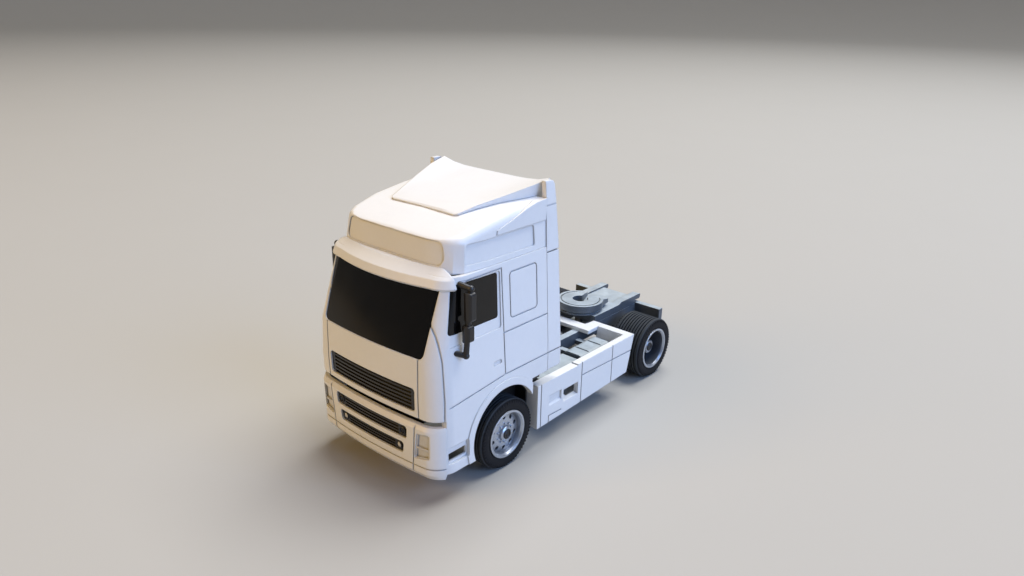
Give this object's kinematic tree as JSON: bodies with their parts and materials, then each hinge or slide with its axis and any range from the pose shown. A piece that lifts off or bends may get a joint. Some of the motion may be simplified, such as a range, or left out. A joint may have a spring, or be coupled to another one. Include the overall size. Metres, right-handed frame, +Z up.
{
  "type": "scale model tractor truck",
  "caption": "White plastic scale model of a tractor truck with a high-roof sleeper cab, sun visor, roof deflector, side skirts, an open coupling plate and rolling wheels on through axles.",
  "frame": {"origin": "on the ground under the middle of the bounding box", "axes": "+Z up, the cab's front faces -Y, +X is the model's left side"},
  "size_m": [0.0542, 0.1196, 0.0788],
  "materials": {
    "body_white": "moulded, satin gloss",
    "trim_black": "moulded, satin",
    "glazing": "dark tinted, polished",
    "seat_grey": "moulded, dull",
    "chassis_grey": "moulded, satin",
    "lamp_clear": "polished",
    "lamp_red": "polished",
    "mirror_silver": "foil",
    "axle_steel": "drawn rod",
    "rim_silver": "silver plated",
    "tyre_black": "soft, dull"
  },
  "bodies": {
    "truck": {"cab_shell": "body_white", "roof_cap": "body_white", "sun_visor": "body_white", "roof_deflector": "body_white", "side_fairing_left": "body_white", "side_fairing_right": "body_white", "bumper": "body_white", "skirt_left": "body_white", "skirt_right": "body_white", "skirt_bridge": "body_white", "upper_grille": "trim_black", "lower_grille": "trim_black", "mirror_arm_left": "trim_black", "mirror_arm_right": "trim_black", "cab_tub": "trim_black", "steering_wheel": "trim_black", "windscreen": "glazing", "side_glass_left": "glazing", "side_glass_right": "glazing", "seats": "seat_grey", "dashboard": "seat_grey", "chassis": "chassis_grey", "rear_deck": "chassis_grey", "coupling_base": "chassis_grey", "coupling_plate": "chassis_grey", "fuel_tank_left": "chassis_grey", "fuel_tank_right": "chassis_grey", "side_box_left": "chassis_grey", "side_box_right": "chassis_grey", "light_bar": "chassis_grey", "head_lamp_left": "lamp_clear", "head_lamp_right": "lamp_clear", "tail_lamps": "lamp_red", "mirror_glass_left": "mirror_silver", "mirror_glass_right": "mirror_silver"},
    "front_wheels": {"front_axle": "axle_steel", "front_rim_left": "rim_silver", "front_rim_right": "rim_silver", "front_tyre_left": "tyre_black", "front_tyre_right": "tyre_black"},
    "rear_wheels": {"rear_axle": "axle_steel", "rear_rim_left": "rim_silver", "rear_rim_right": "rim_silver", "rear_tyre_left": "tyre_black", "rear_tyre_right": "tyre_black"}
  },
  "joints": [
    {"name": "front_roll", "type": "hinge", "parent": "truck", "child": "front_wheels", "pos_m": [0, -0.0309, 0.0104], "axis": [1, 0, 0], "continuous": true},
    {"name": "rear_roll", "type": "hinge", "parent": "truck", "child": "rear_wheels", "pos_m": [0, 0.0456, 0.0104], "axis": [1, 0, 0], "continuous": true}
  ]
}
